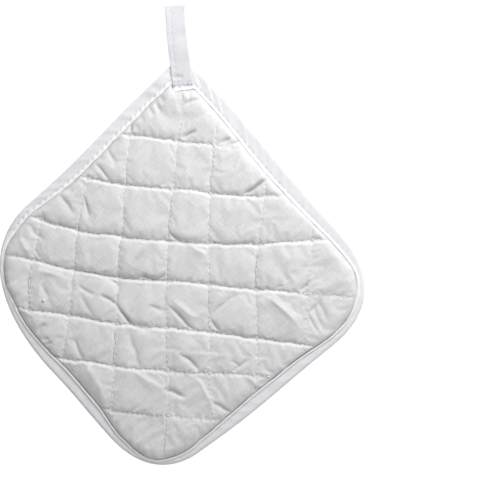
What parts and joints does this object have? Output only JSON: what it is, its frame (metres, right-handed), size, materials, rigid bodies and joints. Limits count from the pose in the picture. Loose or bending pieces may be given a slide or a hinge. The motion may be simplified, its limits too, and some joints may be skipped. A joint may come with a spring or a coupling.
{
  "type": "pot holder",
  "caption": "Quilted square pot holder in white cloth, with a bound edge, rounded corners and a tape loop to hang it by.",
  "frame": {"origin": "middle of the bounding box at the surface that the plain back lies on", "axes": "+Z out of the quilted face, +Y in the face towards the hanging loop, +X to the right as the face is seen"},
  "size_m": [0.2191, 0.2763, 0.0104],
  "materials": {
    "quilted_cloth": "matt white plain weave, quilted over wadding",
    "plain_cloth": "matt off-white plain weave",
    "binding_tape": "matt cool white fine weave bias tape",
    "loop_tape": "matt cool white fine weave folded tape"
  },
  "bodies": {
    "root": {"quilted_front": "quilted_cloth", "back_cloth": "plain_cloth", "edge_binding": "binding_tape", "hanging_loop": "loop_tape"}
  },
  "joints": []
}
